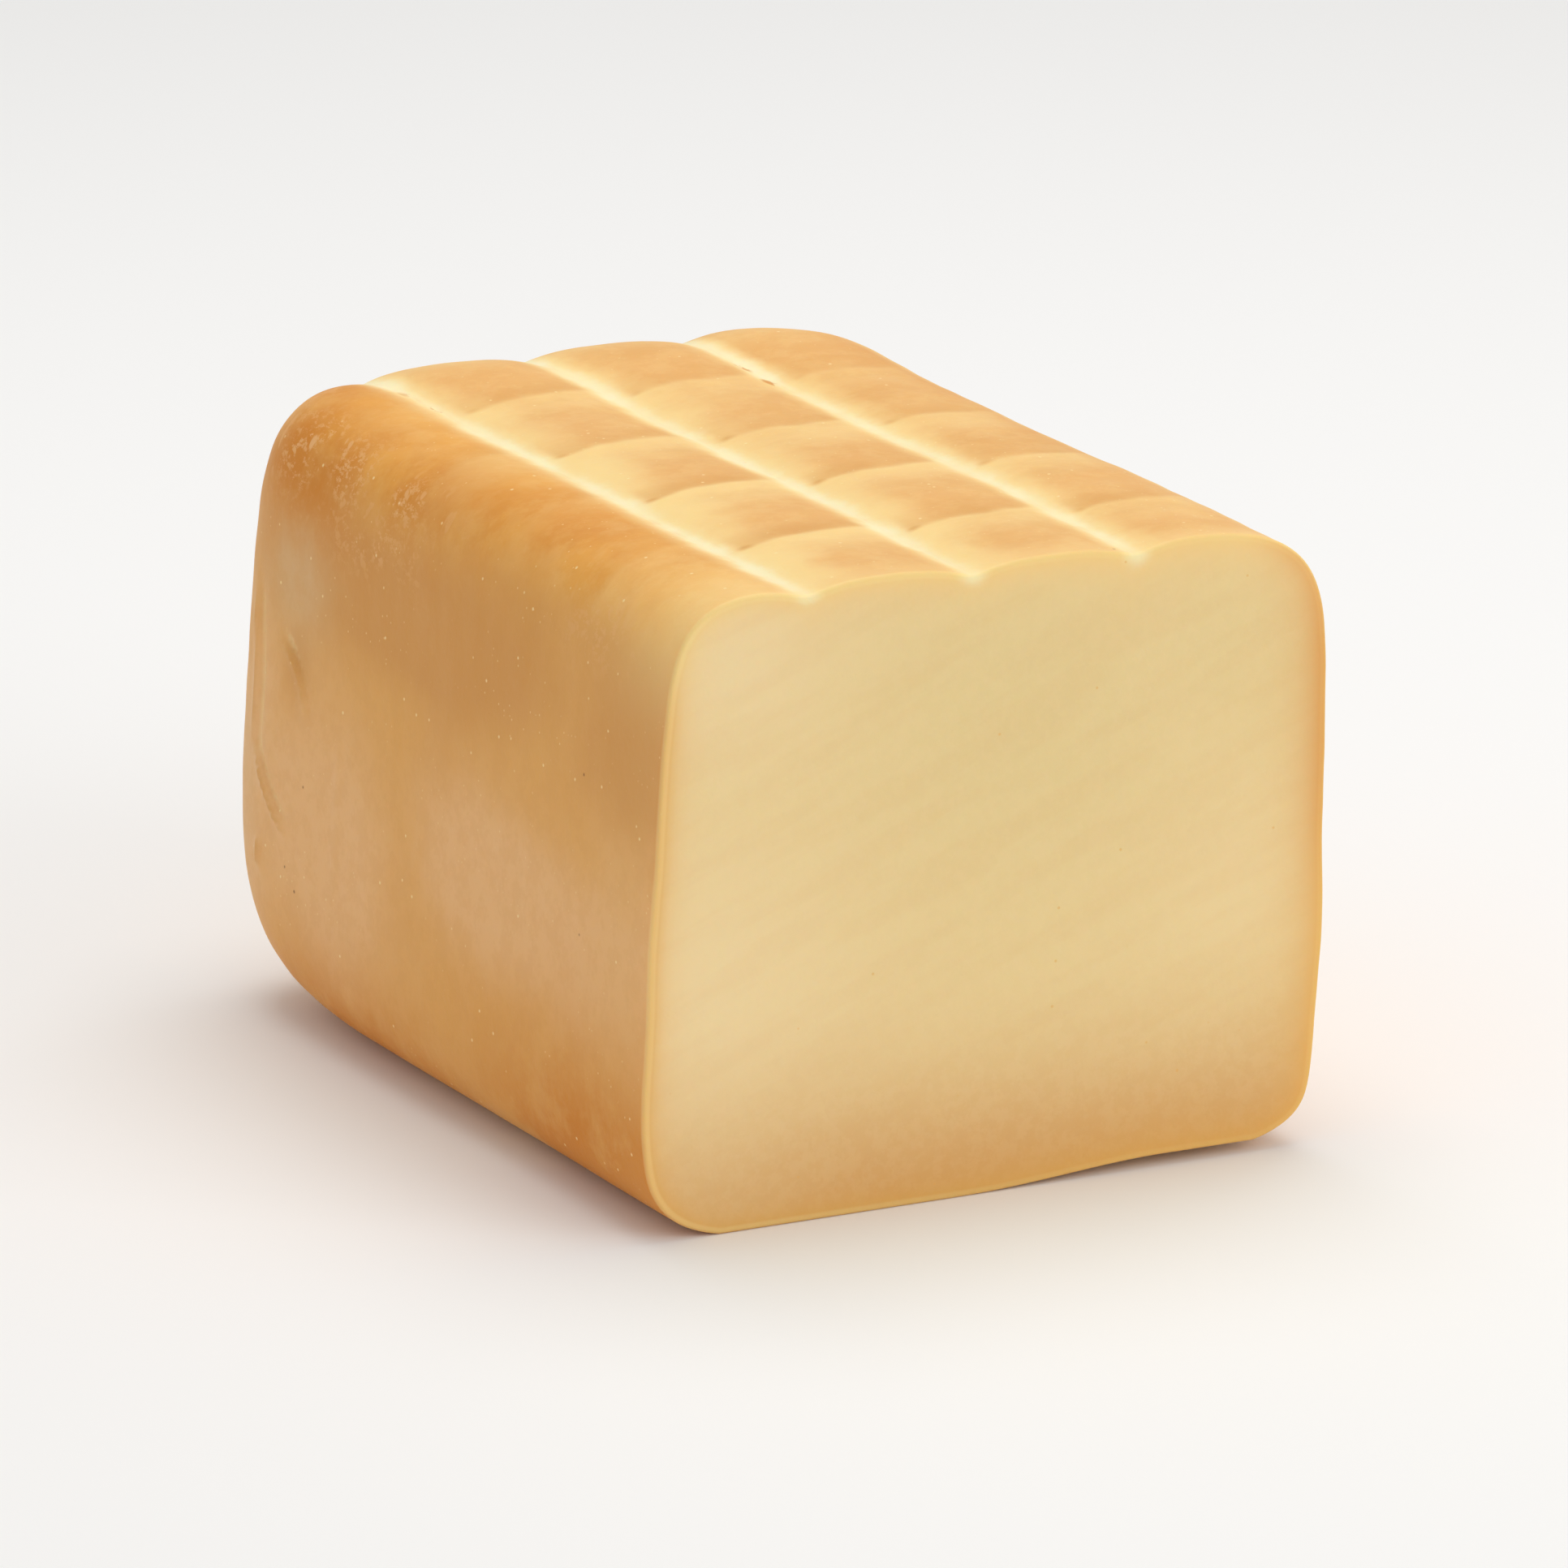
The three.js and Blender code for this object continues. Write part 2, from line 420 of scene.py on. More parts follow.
def skin_grid(sizes, marks):
    """Rows of the skin from just behind the cut to the tip of the uncut end, with the rack's marks, the
    creases and a slow swelling worked into it. Also gives the plain skin before that work."""
    angle = even_angles(sizes)
    first = skin_points(angle, np.zeros_like(angle), sizes)
    end = skin_points(angle[None, :], even_tips(sizes)[:, None], sizes)
    start_y = cut_y(first[:, 0], sizes) + sizes.rim_radius
    share = np.linspace(0, 1, BODY_ROWS)[:, None]
    body = np.repeat(first[None], BODY_ROWS, axis=0)
    body[..., 1] = start_y * (1 - share) + first[:, 1] * share
    plain = pulled_foot(np.concatenate([body, end]), sizes)
    skin = plain.copy()
    skin[..., 2] -= rack_relief(plain, sizes, marks)
    lifted = ease(0, 9 * MM, plain[..., 2])
    rise = sum(high * MM * swell(plain, wavelength * MM, seed) for high, wavelength, seed in SWELLS)
    skin += outward(skin) * ((rise - crease_depths(plain)) * lifted)[..., None]
    return skin, plain


def section_normals(outline):
    """Unit normals of a closed outline in the plane across the loaf, pointing away from its inside."""
    along = np.roll(outline, -1, axis=0) - np.roll(outline, 1, axis=0)
    normal = np.stack([along[:, 2], np.zeros(len(outline)), -along[:, 0]], axis=-1)
    return normal / np.linalg.norm(normal, axis=-1, keepdims=True)


def rim_grid(outline, sizes):
    """Rows that carry the skin's first outline round the cut's edge on a quarter circle."""
    normal = section_normals(outline)
    quarter = np.linspace(math.pi / 2, 0, RIM_ROWS, endpoint=False)[:, None, None]
    rim = outline - normal * sizes.rim_radius * (1 - np.cos(quarter))
    rim[..., 1] = cut_y(rim[..., 0], sizes) + sizes.rim_radius * (1 - np.sin(quarter[..., 0]))
    return rim


def wire_relief(points, sizes):
    """Height of the cut face: a shallow dish, and the faint slanting ridges that the wire left."""
    slanted = points[..., 2] * math.cos(WIRE_TILT) - points[..., 0] * math.sin(WIRE_TILT)
    ridges = 0
    for part, turns, waver, wavelength, seed in WIRE_WAVES:
        ridges += part * np.sin(slanted * turns + waver * swell(points, wavelength * MM, seed))
    return WIRE_RIDGE * ridges + FACE_DISH * swell(points, 90 * MM, 23)


def face_grid(rim, sizes):
    """Rings of the cut face from its middle out to the rim, and each point's distance from the rim. A ring
    is the rim shrunk towards the middle."""
    middle = rim.mean(axis=0)
    share = np.linspace(0, 1, FACE_ROWS + 1)[1:-1, None, None]
    rings = middle + (rim - middle) * share
    support = np.einsum("ij,ij->i", rim - middle, section_normals(rim))
    from_rim = (1 - share[..., 0]) * support
    rings[..., 1] = cut_y(rings[..., 0], sizes)
    rings[..., 1] -= wire_relief(rings, sizes) * ease(0, 5 * MM, from_rim)
    return rings, from_rim


def grid_faces(rows, columns):
    """Quads of a closed grid, and the fans of triangles that shut its first and last rows on two poles."""
    index = np.arange(rows * columns).reshape(rows, columns)
    after = np.roll(index, -1, axis=1)
    quads = np.stack([index[:-1], index[1:], after[1:], after[:-1]], axis=-1).reshape(-1, 4)
    low_pole, high_pole = rows * columns, rows * columns + 1
    low = np.stack([np.full(columns, low_pole), index[0], after[0]], axis=-1)
    high = np.stack([np.full(columns, high_pole), after[-1], index[-1]], axis=-1)
    return [*quads.tolist(), *low.tolist(), *high.tolist()]


# Patches of the surface, in mm: middle, radius along the loaf, radius up and across it, strength. Each
# table's name is that of the field that the material reads.
PATCHES = {
    # Smoke stains, and painted shade along the top left shoulder and along the foot.
    "smoke_and_shade": (
        ((-49, 48, 87), 24, 11, 1.15),
        ((-46, 14, 89), 30, 9, 0.85),
        ((-43, -22, 91), 16, 8, 0.6),
        ((-38, 58, 93), 10, 7, 0.8),
        ((-48, -60, 0), 38, 19, 2.1),
        ((-50, 26, 0), 44, 12, 1.2),
        ((54, 10, 3), 75, 9, 0.9),
        ((4, 70, 3), 50, 10, 0.8),
        ((50, 30, 90), 40, 9, 0.7),
    ),
    "dull": (
        ((-51, 46, 71), 10, 10, 1.0),
        ((-52, 62, 34), 6, 14, 0.5),
    ),
    "beige": (
        ((-53, 32, 32), 24, 18, 0.7),
        ((-53, -24, 40), 32, 13, 0.7),
        ((-52, 58, 40), 8, 30, 0.5),
        ((54, -22, 34), 26, 16, 0.6),
        ((53, 34, 46), 22, 20, 0.6),
        ((-14, 73, 36), 30, 20, 0.6),
    ),
    "brown": (
        ((-52, 12, 72), 46, 10, 1.0),
        ((-53, -58, 70), 18, 16, 0.9),
        ((-52, 45, 56), 5, 8, 0.6),
        ((54, 8, 74), 50, 10, 0.8),
        ((54, -40, 62), 14, 18, 0.5),
        ((16, 72, 66), 30, 12, 0.7),
    ),
    "scuffed": (
        ((-48, 44, 88), 18, 6, 1.0),
        ((-47, 18, 87), 16, 4, 0.8),
        ((-50, 24, 80), 18, 5, 0.5),
        ((-48, -45, 84), 12, 5, 0.5),
        ((-38, 62, 88), 10, 7, 0.7),
        ((50, 30, 86), 20, 5, 0.6),
    ),
    "flaky": (
        ((-33.0, 59, 92), 3.2, 1.4, 1.0),
        ((-31, 51, 93), 2.0, 0.9, 0.9),
        ((-29.6, 43, 93), 1.5, 0.8, 1.0),
        ((21.0, 41.5, 93), 3.0, 0.9, 0.9),
        ((21.0, 33.0, 93), 2.2, 1.0, 1.0),
        ((29, 60, 92), 3, 4, 0.8),
    ),
    "creamy": (
        ((-46, -66, 34), 60, 26, 1.0),
        ((-40, -66, 84), 60, 18, 1.0),
        ((40, -70, 42), 60, 16, 0.5),
    ),
    # Painted shade on the cut face, above its middle.
    "face_shade_patch": (
        ((4, -70, 70), 60, 30, 1.0),
        ((36, -70, 76), 60, 18, 0.7),
    ),
}


def patches(points, table):
    """The strongest of several soft patches, each a bell round its middle."""
    best = np.zeros(points.shape[:-1])
    for middle, along, around, strength in table:
        away = (points / MM - middle) / (around, along, around)
        best = np.maximum(best, strength * np.exp(-(away**2).sum(axis=-1)))
    return best


def rim_tint(points, from_rim, sizes):
    """How far the rind's colour has soaked into the cut face. It falls off over a depth that is smallest on
    the left and greatest on the right."""
    across = points[..., 0] / (sizes.width / 2)
    depth = (1.8 + 1.7 * ease(-0.9, 0.9, across)) * MM
    return np.exp(-np.maximum(from_rim, 0) / depth)


def loaf_arrays(sizes, marks):
    """Every point of the loaf, one row after another from the middle of the cut face to the tip of the
    uncut end, and the fields that the material reads."""
    skin, plain = skin_grid(sizes, marks)
    rim = rim_grid(skin[0], sizes)
    rings, from_rim = face_grid(rim[0], sizes)
    grid = np.concatenate([rings, rim, skin])
    poles = np.stack([rings[0].mean(axis=0), skin[-1].mean(axis=0)])
    points = np.concatenate([grid.reshape(-1, 3), poles])
    smooth = np.concatenate([np.concatenate([rings, rim, plain]).reshape(-1, 3), poles])
    rim_share = np.linspace(1, 0, RIM_ROWS)[:, None] * np.ones(COLUMNS)
    bare = np.concatenate([np.ones_like(from_rim), rim_share, np.zeros(skin.shape[:2])])
    depth = np.concatenate([from_rim, 0 * rim_share, 0 * skin[..., 0]])
    bare, depth = np.append(bare.ravel(), [1, 0]), np.append(depth.ravel(), [from_rim.max(), 0])
    behind_cut = points[:, 1] - cut_y(points[:, 0], sizes)
    fields = {
        "bare": bare,
        "rim_tint": rim_tint(points, depth, sizes),
        "edge_mm": np.hypot(np.maximum(depth, 0), behind_cut) / MM,
        "groove_mm": np.abs(groove_offset(points, marks)) / MM,
        "across": lane_place(points, marks)[1],
        "shaded": shaded_side(points, marks),
        "crease_mm": crease_depths(smooth) / MM,
        "left_lane": ease(0, 7 * MM, -(points[:, 0] - groove_places(points[:, 1], marks)[:, 0])),
        "row": row_number(smooth, marks),
        "row_strength": row_strength(points, marks),
        "top": topness(smooth, sizes, marks),
        **{name: patches(points, table) for name, table in PATCHES.items()},
    }
    return points, len(grid), fields


def seated(points):
    """Points moved so that the loaf stands in the middle of the CAD solid's box, on its base."""
    low, high = points.min(axis=0), points.max(axis=0)
    shift = (NODE_LOW + NODE_HIGH) / 2 - (low + high) / 2
    shift[2] = NODE_LOW[2] - low[2]
    return points + shift


def loaf_object(sizes, marks):
    """The half loaf as one closed mesh object."""
    points, rows, fields = loaf_arrays(sizes, marks)
    mesh = bpy.data.meshes.new("smoked_cheese_half_loaf")
    mesh.from_pydata(seated(points).tolist(), [], grid_faces(rows, COLUMNS))
    for name, values in fields.items():
        layer = mesh.attributes.new(name, "FLOAT", "POINT")
        layer.data.foreach_set("value", values.astype(np.float32))
    mesh.polygons.foreach_set("use_smooth", np.ones(len(mesh.polygons), bool))
    mesh.update()
    piece = bpy.data.objects.new("smoked_cheese_half_loaf", mesh)
    bpy.context.collection.objects.link(piece)
    return piece


def add(tree, kind, inputs=(), out=0, **settings):
    """Adds a node and gives one of its outputs. settings are its properties. inputs are given in order or by
    name, and each is a plain value, a socket to link or the name of a field of the surface."""
    made = tree.nodes.new(kind)
    for name, value in settings.items():
        setattr(made, name, value)
    for name, value in inputs.items() if isinstance(inputs, dict) else enumerate(inputs):
        if isinstance(value, str):
            value = add(tree, "ShaderNodeAttribute", out="Fac", attribute_name=value)
        if isinstance(value, bpy.types.NodeSocket):
            tree.links.new(value, made.inputs[name])
        else:
            made.inputs[name].default_value = value
    return made.outputs[out] if made.outputs else None


# Sockets of a colour Mix node, whose names are not unique.
FACTOR, BELOW, ABOVE, MIXED = 0, 6, 7, 2


def combined(tree, operation, *parts):
    """Several values combined two at a time, from the first on."""
    result = parts[0]
    for other in parts[1:]:
        result = add(tree, "ShaderNodeMath", (result, other), operation=operation)
    return result


def eased(tree, low, high, *sources, ends=(0.0, 1.0)):
    """The sum of one or more sources, eased from the first of ends, where it is low, to the second, where it
    is high."""
    total = combined(tree, "ADD", *sources)
    inputs = {"Value": total, "From Min": low, "From Max": high, "To Min": ends[0], "To Max": ends[1]}
    return add(tree, "ShaderNodeMapRange", inputs, interpolation_type="SMOOTHSTEP")


def laid(tree, below, above, *factors):
    """A colour laid over another, each a socket or a plain colour, as far as the product of factors says."""
    below, above = (c if isinstance(c, bpy.types.NodeSocket) else (*c, 1) for c in (below, above))
    inputs = {FACTOR: combined(tree, "MULTIPLY", *factors), BELOW: below, ABOVE: above}
    return add(tree, "ShaderNodeMix", inputs, MIXED, data_type="RGBA")


def noise(tree, millimetres, detail=2.0, rough=0.5, stretch=(1, 1, 1), shift=0.0, tilt=0.0):
    """Noise whose patches are about this many millimetres across, longer along an axis with a small stretch.
    shift moves it to another part of the pattern, and tilt turns it in the plane of the cut."""
    place = add(tree, "ShaderNodeTexCoord", out="Object")
    if tilt:
        place = add(tree, "ShaderNodeMapping", {"Vector": place, "Rotation": (0, tilt, 0)})
    moved = {"Vector": place, "Location": (shift, shift, shift), "Scale": stretch}
    moved = add(tree, "ShaderNodeMapping", moved)
    inputs = {"Vector": moved, "Scale": 500 / millimetres, "Detail": detail, "Roughness": rough}
    return add(tree, "ShaderNodeTexNoise", inputs, "Fac")


def dots(tree, spacing, radius, kept):
    """Round dots of a radius in mm, scattered a spacing in mm apart. kept is the share of them that shows."""
    place = add(tree, "ShaderNodeTexCoord", out="Object")
    away = add(tree, "ShaderNodeTexVoronoi", {"Vector": place, "Scale": 1000 / spacing}, "Distance")
    round_dot = eased(tree, 0.4 * radius / spacing, radius / spacing, away, ends=(1.0, 0.0))
    pick = add(tree, "ShaderNodeSeparateColor", {"Color": away.node.outputs["Color"]}, "Red")
    return combined(tree, "MULTIPLY", round_dot, combined(tree, "LESS_THAN", pick, kept))


def place_mm(tree, axis):
    """A point's place along an axis, in mm from the middle of the base."""
    place = add(tree, "ShaderNodeTexCoord", out="Object")
    metres = add(tree, "ShaderNodeSeparateXYZ", {"Vector": place}, axis)
    return combined(tree, "MULTIPLY", metres, 1000.0)


def side_colour(tree, colours):
    """The sides' skin: golden, browner high up, with beige patches a few centimetres across, a fine mottle,
    faint upright drip streaks, painted shade in the creases' valleys and painted highlights on their ridges."""
    beige = eased(tree, 0.45, 1.05, noise(tree, 20, 4.0), "beige")
    brown = eased(tree, 0.5, 1.2, noise(tree, 16, 4.0, shift=5), "brown")
    cloud = eased(tree, 0.25, 0.6, noise(tree, 9, 4.0, shift=9), ends=(0.4, 1.0))
    streak = eased(tree, 0.44, 0.60, noise(tree, 3, 4.0, 0.6, stretch=(1, 1, 0.25)))
    mottle = eased(tree, 0.42, 0.60, noise(tree, 2.0, 5.0, 0.7, shift=4))
    painted_crease_shade = eased(tree, 0.10, 0.75, "crease_mm")
    ridge_highlight = eased(tree, -0.45, -0.05, "crease_mm", ends=(1.0, 0.0))
    skin = laid(tree, colours.rind, colours.rind_pale, beige)
    skin = laid(tree, skin, colours.rind_brown, brown, 0.85)
    skin = laid(tree, skin, colours.rind_dull, "dull", cloud)
    skin = laid(tree, skin, colours.rind_pale, streak, 0.05)
    skin = laid(tree, skin, colours.rind_brown, mottle, 0.16)
    # Painted shade in each crease's valley and a painted highlight on its ridge, in place of the relief's
    # shading.
    skin = laid(tree, skin, colours.rind_brown, painted_crease_shade, 0.5)
    return laid(tree, skin, colours.stripe, ridge_highlight, 0.4)


def before_mark(tree, start, end):
    """Rises over the last stretch of a cell, up to the rack's mark at its end nearer the cut, and falls back
    to 0 on the mark."""
    along = add(tree, "ShaderNodeMath", ["row"], operation="FRACT")
    on_mark = eased(tree, 0.94, 1.0, along, ends=(1.0, 0.0))
    return combined(tree, "MULTIPLY", eased(tree, start, end, along), on_mark)


def lane_colour(tree, colours):
    """The lanes along the top. In each cell between the rack's marks, tan deepens towards the mark nearer
    the cut and towards the right. The leftmost lane is amber and blotched."""
    ragged = noise(tree, 7, 3.0, 0.6, stretch=(0.4, 1, 1))
    ragged = eased(tree, 0.3, 0.7, ragged, ends=(-0.07, 0.07))
    along = add(tree, "ShaderNodeMath", ["row"], operation="FRACT")
    past_line = eased(tree, 0.90, 1.0, along, ends=(1.0, 0.0))
    deepening = eased(tree, 0.0, 0.52, along, ragged)
    to_left = eased(tree, 0.1, 0.9, "shaded", ragged)
    smoked = combined(tree, "MULTIPLY", deepening, past_line, to_left)
    kept_clear = combined(tree, "SUBTRACT", 1.0, smoked)
    smear = eased(tree, 0.42, 0.68, noise(tree, 5, 5.0, 0.65, stretch=(0.35, 1, 1), shift=3))
    blotch = eased(tree, 0.45, 0.65, noise(tree, 12, 4.0, 0.6, shift=17))
    fleck = eased(tree, 0.44, 0.62, noise(tree, 2.2, 5.0, 0.7, shift=6))
    lanes = laid(tree, colours.top, colours.amber, "left_lane", 0.85)
    lanes = laid(tree, lanes, colours.unsmoked_and_highlight, kept_clear, "row_strength", 0.72)
    lanes = laid(tree, lanes, colours.stain, smear, 0.22)
    lanes = laid(tree, lanes, colours.rind_deep, blotch, "left_lane", 0.45)
    return laid(tree, lanes, colours.unsmoked_and_highlight, fleck, 0.14)


def grooved(tree, skin, colours, top):
    """The skin with the grooves' pale colour over it: a mottled band that is wider on a groove's right, a
    cream stripe with frayed edges and a bright line along the bottom. They taper off where the top turns
    down."""
    left = eased(tree, 0.78, 0.99, "across", ends=(0.0, 0.7))
    mottle = eased(tree, 0.3, 0.7, noise(tree, 9, 4.0, 0.6, shift=13), ends=(-0.22, 0.22))
    right = eased(tree, -0.1, 1.15, "shaded", mottle, ends=(0.85, 0.0))
    smoked = combined(tree, "MULTIPLY", before_mark(tree, 0.45, 0.97), "row_strength", 0.65)
    right = combined(tree, "MULTIPLY", right, combined(tree, "SUBTRACT", 1.0, smoked))
    band = combined(tree, "MAXIMUM", right, left)
    fray = eased(tree, 0.3, 0.7, noise(tree, 5, 4.0, 0.6), ends=(-0.7, 0.7))
    taper = eased(tree, 0.1, 0.8, "top", ends=(2.6, 0.0))
    from_bottom = combined(tree, "ADD", "groove_mm", fray, taper)
    stripe = eased(tree, 0.4, 3.4, from_bottom, ends=(0.85, 0.0))
    patchy = eased(tree, 0.3, 0.6, noise(tree, 6, 3.0), ends=(0.45, 0.85))
    bottom = eased(tree, 0.0, 2.0, from_bottom, ends=(1.0, 0.0))
    skin = laid(tree, skin, colours.unsmoked_and_highlight, band, top)
    skin = laid(tree, skin, colours.stripe, stripe, top)
    return laid(tree, skin, colours.groove, bottom, patchy, top)


def smoke_lines(tree, skin, colours, top):
    """The skin with the smoke's dark line behind each of the rack's marks across the top, strongest in a
    spot beside the groove on its left."""
    clear = eased(tree, 1.0, 2.6, "groove_mm")
    past_groove = eased(tree, 0.05, 0.13, "across")
    before_next = eased(tree, 0.84, 0.96, "across", ends=(1.0, 0.0))
    fade = eased(tree, 0.3, 0.65, noise(tree, 8, 3.0, 0.6, shift=15), ends=(0.35, 1.0))
    line = combined(tree, "MULTIPLY", before_mark(tree, 0.66, 0.97), fade, 0.62)
    in_spot = eased(tree, 0.12, 0.24, "across", ends=(0.9, 0.0))
    spot = combined(tree, "MULTIPLY", before_mark(tree, 0.88, 0.97), in_spot)
    shade = combined(tree, "MAXIMUM", line, spot)
    return laid(tree, skin, colours.stain, shade, past_groove, before_next, clear, "row_strength", top)


def paler_near_cut(tree, skin, colours):
    """The skin with a painted glow, where light shines through it near the cut: paler towards the cut,
    over a longer way on the left shoulder.
    """
    narrow = eased(tree, 0.0, 9.0, "edge_mm", ends=(0.45, 0.0))
    wide = eased(tree, 0.0, 26.0, "edge_mm", ends=(0.6, 0.0))
    painted_glow = combined(tree, "MAXIMUM", narrow, combined(tree, "MULTIPLY", wide, "left_lane"))
    high = eased(tree, 70, 90, place_mm(tree, "Z"), ends=(0.12, 1.0))
    return laid(tree, skin, colours.unsmoked_and_highlight, painted_glow, high)


def worn(tree, skin, colours):
    """The skin with scuffs and slanting scratches where it is scuffed, pale specks, and now and then a small
    dark brown pit or a brown flake."""
    grains = eased(tree, 0.50, 0.60, noise(tree, 0.45, 4.0, 0.75, stretch=(1, 0.6, 0.8)))
    patchy = eased(tree, 0.40, 0.58, noise(tree, 5, 3.0, shift=11))
    scratches = noise(tree, 0.8, 2.0, stretch=(1, 0.5, 0.18), tilt=SCRATCH_TILT)
    scratches = eased(tree, 0.62, 0.66, scratches)
    scuffs = combined(tree, "MAXIMUM", combined(tree, "MULTIPLY", grains, patchy), scratches)
    cluster = eased(tree, 0.42, 0.58, noise(tree, 14, 2.0, shift=7), ends=(0.1, 1.0))
    flakes = eased(tree, 0.47, 0.55, noise(tree, 1.0, 3.0, 0.6, stretch=(1, 0.4, 1)))
    flaky = eased(tree, 0.2, 0.7, "flaky")
    skin = laid(tree, skin, colours.rind_pale, scuffs, "scuffed", 0.9)
    skin = laid(tree, skin, colours.stripe, dots(tree, 4, 0.34, 0.8), 0.75)
    skin = laid(tree, skin, colours.stripe, dots(tree, 1.6, 0.22, 0.6), cluster, 0.5)
    skin = laid(tree, skin, colours.pit, dots(tree, 9, 0.36, 0.3), 0.75)
    return laid(tree, skin, colours.rind_deep, flakes, flaky, 0.85)


def skin_colour(tree, colours):
    """The smoked skin: its sides and its top, darker where it took more smoke and, as painted shade, along
    the top left shoulder and the foot, with the rack's marks and the wear over it."""
    top = eased(tree, 0.15, 0.85, "top")
    cloud = eased(tree, 0.32, 0.58, noise(tree, 7, 5.0, 0.65, shift=2), ends=(0.35, 1.0))
    skin = laid(tree, side_colour(tree, colours), lane_colour(tree, colours), top)
    # Darker smoke stains, partly painted shade along the top left shoulder and the foot.
    skin = laid(tree, skin, colours.rind_deep, "smoke_and_shade", cloud)
    skin = smoke_lines(tree, grooved(tree, skin, colours, top), colours, top)
    return worn(tree, paler_near_cut(tree, skin, colours), colours)


def edge_colour(tree, colours):
    """The cheese just under the rind: amber, deeper on the right, with painted highlights where light
    catches the rounded rim: yellow under the top and bright below each groove."""
    height = place_mm(tree, "Z")
    top_rim_highlight = eased(tree, 74, 88, height)
    on_right = eased(tree, 38, 52, place_mm(tree, "X"))
    upper = eased(tree, 30, 60, height)
    groove_end_highlight = eased(tree, 0.0, 3.2, "groove_mm", ends=(1.0, 0.0))
    at_rim = eased(tree, 0.45, 0.95, "rim_tint")
    # Painted highlight: paler and yellower under the top, where light catches the rounded rim.
    edge = laid(tree, colours.paste_edge, colours.unsmoked_and_highlight, top_rim_highlight, 0.75)
    edge = laid(tree, edge, colours.rind_deep, on_right, upper, 0.6)
    # Painted highlight: bright where each groove meets the cut.
    return laid(tree, edge, colours.groove, groove_end_highlight, top_rim_highlight, at_rim, 0.9)


def paste_colour(tree, colours):
    """The bare cheese: creamy on the left, painted shade above the middle, painted shade and warm reflection
    towards the base, streaked along the wire's path, with the skin's colour fading in from its edge."""
    # Painted shade and warm reflection from below: darker and more orange towards the base, less on the left.
    low = combined(tree, "POWER", eased(tree, 0, 40, place_mm(tree, "Z"), ends=(1.0, 0.0)), 1.7)
    base_shade_share = eased(tree, -45, -15, place_mm(tree, "X"), ends=(0.62, 0.85))
    streak = noise(tree, 2.4, 3.0, 0.6, stretch=(0.16, 1, 1), tilt=WIRE_TILT)
    pores = eased(tree, 0.42, 0.60, noise(tree, 1.1, 4.0, 0.7, shift=8))
    paste = laid(tree, colours.paste, colours.paste_pale, "creamy", 0.8)
    # Painted shade above the middle of the cut face.
    paste = laid(tree, paste, colours.paste_in_shade, "face_shade_patch", 0.8)
    paste = laid(tree, paste, colours.paste_shade_and_streak, low, base_shade_share)
    paste = laid(tree, paste, colours.paste_shade_and_streak, eased(tree, 0.40, 0.62, streak), 0.07)
    paste = laid(tree, paste, colours.paste_pale, pores, 0.10)
    paste = laid(tree, paste, edge_colour(tree, colours), "rim_tint", 0.9)
    return laid(tree, paste, colours.paste_edge, dots(tree, 5, 0.3, 0.4), 0.5)


def cheese_material(colours):
    """Processed cheese, cast and wood-smoked. It is dense and even, so light soaks a few millimetres into it
    and softens every edge. The skin is amber where smoke reached it. Skin and cut are dry and satin."""
    material = bpy.data.materials.new("smoked_processed_cheese")
    material.use_nodes = True
    tree = material.node_tree
    tree.nodes.clear()
    # Painted highlight: a thin bright line along the cut's edge where light catches the rim, most on the
    # left.
    rim = eased(tree, 0.3, 0.75, "edge_mm", ends=(1.0, 0.0))
    rim_highlight_share = eased(tree, -45, 30, place_mm(tree, "X"), ends=(0.3, 0.12))
    surface = laid(tree, skin_colour(tree, colours), paste_colour(tree, colours), "bare")
    surface = laid(tree, surface, colours.stripe, rim, rim_highlight_share)
    grain = {"Height": noise(tree, 0.9, 3.0, 0.6), "Strength": 0.25, "Distance": 0.4 * MM}
    finish = {
        "Base Color": surface,
        "Normal": add(tree, "ShaderNodeBump", grain),
        "IOR": 1.45,
        "Specular IOR Level": 0.22,
        "Subsurface Weight": 0.3,
        "Subsurface Radius": (1.0, 0.6, 0.25),
        "Subsurface Scale": 4 * MM,
        "Roughness": 0.48,
    }
    add(tree, "ShaderNodeOutputMaterial", {"Surface": add(tree, "ShaderNodeBsdfPrincipled", finish)})
    return material


class CHEESE_OT_loaf(Operator):
    """Build the cut half of a smoked cheese loaf"""

    bl_idname = "cheese.loaf"
    bl_label = "Smoked cheese half loaf"

    def execute(self, context):
        scene = context.scene
        piece = loaf_object(scene.cheese_loaf, scene.cheese_marks)
        piece.data.materials.append(cheese_material(scene.cheese_colours))
        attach(piece, "root")
        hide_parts(CAD_NODE)
        return {"FINISHED"}


def area_light(name, place, target, width, watts, tint=(1, 1, 1)):
    """A square soft light that faces a target."""
    lamp = bpy.data.lights.new(name, "AREA")
    lamp.shape = "SQUARE"
    lamp.size = width
    lamp.energy = watts
    lamp.color = tint
    holder = bpy.data.objects.new(name, lamp)
    holder.location = place
    holder.rotation_euler = (Vector(target) - Vector(place)).to_track_quat("-Z", "Y").to_euler()
    bpy.context.collection.objects.link(holder)


def camera_place(stage, target):
    """The camera's place: stepped back from the target by its distance, at its azimuth and elevation."""
    level = math.cos(stage.elevation)
    away = Vector((
        math.sin(stage.azimuth) * level,
        -math.cos(stage.azimuth) * level,
        math.sin(stage.elevation),
    ))
    return target + away * stage.distance


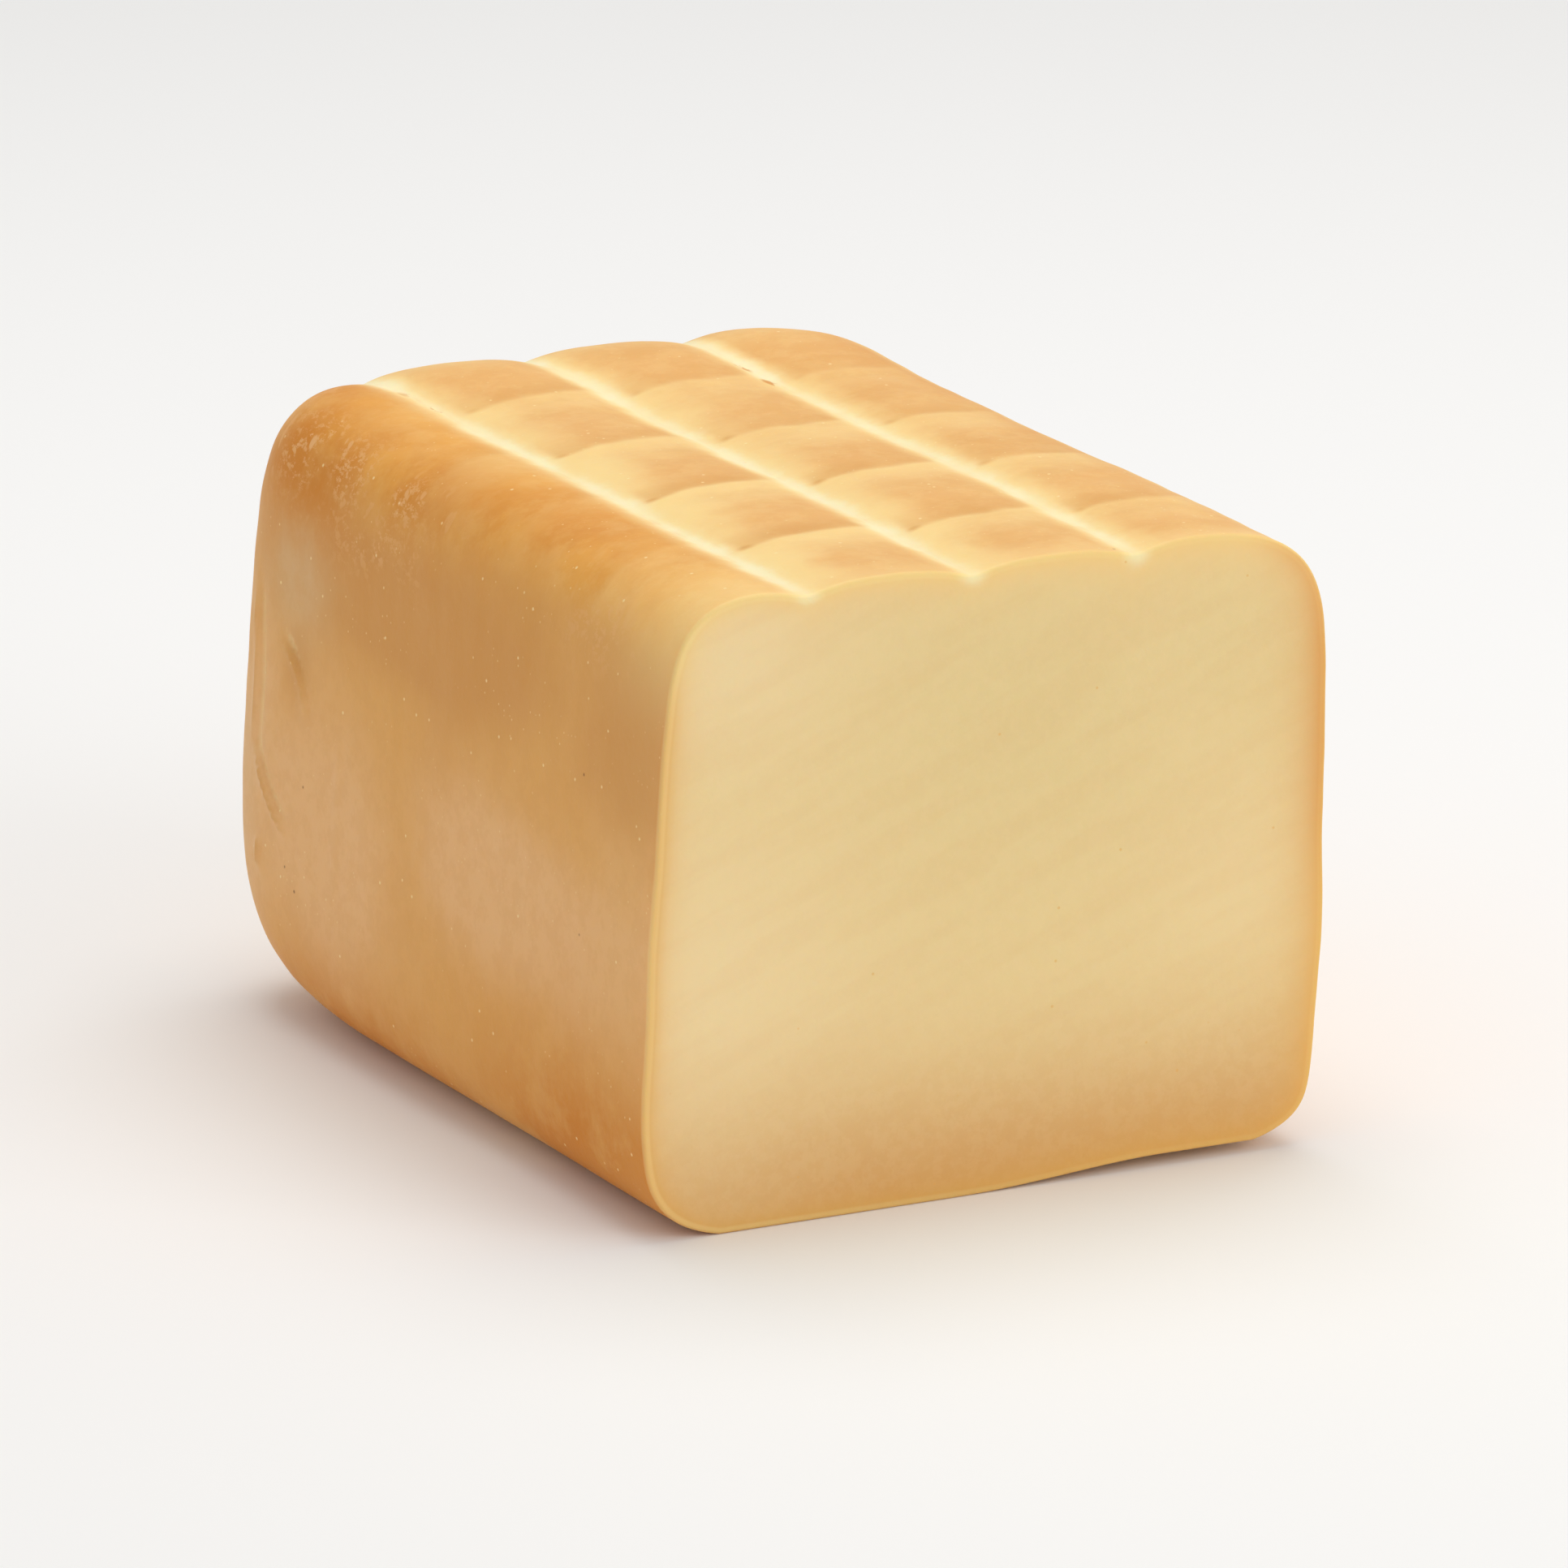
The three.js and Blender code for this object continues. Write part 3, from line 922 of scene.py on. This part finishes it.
class CHEESE_OT_stage(Operator):
    """Set up the camera, the soft light and the plain pale floor"""

    bl_idname = "cheese.stage"
    bl_label = "Camera, lights and floor"

    def execute(self, context):
        stage = context.scene.cheese_stage
        low, high = (Vector(corner) for corner in CAD_BOX)
        middle = (low + high) / 2
        target = middle + Vector(stage.aim)
        reach = (high - low).length

        camera = bpy.data.objects.new("camera", bpy.data.cameras.new("camera"))
        camera.data.lens = stage.lens
        camera.data.clip_start = 0.01
        camera.location = camera_place(stage, target)
        camera.rotation_euler = (target - camera.location).to_track_quat("-Z", "Y").to_euler()
        context.collection.objects.link(camera)
        context.scene.camera = camera

        area_light("key", (0.15, 0.2, 1.1), middle, 0.8, stage.key_power)
        area_light("fill", (0.55, -1.1, 0.6), middle, 0.9, stage.fill_power)

        world = bpy.data.worlds.new("studio")
        world.use_nodes = True
        world.node_tree.nodes["Background"].inputs["Color"].default_value = (1, 1, 1, 1)
        world.node_tree.nodes["Background"].inputs["Strength"].default_value = stage.sky
        context.scene.world = world
        context.scene.view_settings.view_transform = "Standard"

        half = reach * 12
        mesh = bpy.data.meshes.new("floor")
        corners = [(-half, -half, 0), (half, -half, 0), (half, half, 0), (-half, half, 0)]
        mesh.from_pydata(corners, [], [(0, 1, 2, 3)])
        paint = bpy.data.materials.new("matte_paper_sweep")
        paint.use_nodes = True
        shader = paint.node_tree.nodes["Principled BSDF"]
        shader.inputs["Base Color"].default_value = (*stage.floor, 1)
        shader.inputs["Roughness"].default_value = 0.9
        mesh.materials.append(paint)
        floor = bpy.data.objects.new("floor", mesh)
        context.collection.objects.link(floor)
        return {"FINISHED"}


class CHEESE_PT_panel(Panel):
    """Builds the half loaf and its stage"""

    bl_idname = "CHEESE_PT_panel"
    bl_label = "Smoked cheese"
    bl_space_type = "VIEW_3D"
    bl_region_type = "UI"
    bl_category = "Cheese"

    def draw(self, context):
        for operator in (CHEESE_OT_loaf, CHEESE_OT_stage):
            self.layout.operator(operator.bl_idname)
        for name, group in SETTINGS.items():
            box = self.layout.box()
            for setting in group.__annotations__:
                box.prop(getattr(context.scene, name), setting)


SETTINGS = {
    "cheese_loaf": LoafSizes,
    "cheese_marks": RackMarks,
    "cheese_colours": CheeseColours,
    "cheese_stage": StageSettings,
}
CLASSES = (*SETTINGS.values(), CHEESE_OT_loaf, CHEESE_OT_stage, CHEESE_PT_panel)


def register():
    """Registers the settings, the operators and the panel."""
    for made in CLASSES:
        bpy.utils.register_class(made)
    for name, group in SETTINGS.items():
        setattr(bpy.types.Scene, name, PointerProperty(type=group))


def unregister():
    """Takes everything that register added away again."""
    for name in SETTINGS:
        delattr(bpy.types.Scene, name)
    for made in reversed(CLASSES):
        bpy.utils.unregister_class(made)


def main():
    register()
    bpy.ops.cheese.loaf()
    bpy.ops.cheese.stage()


if __name__ == "__main__":
    main()
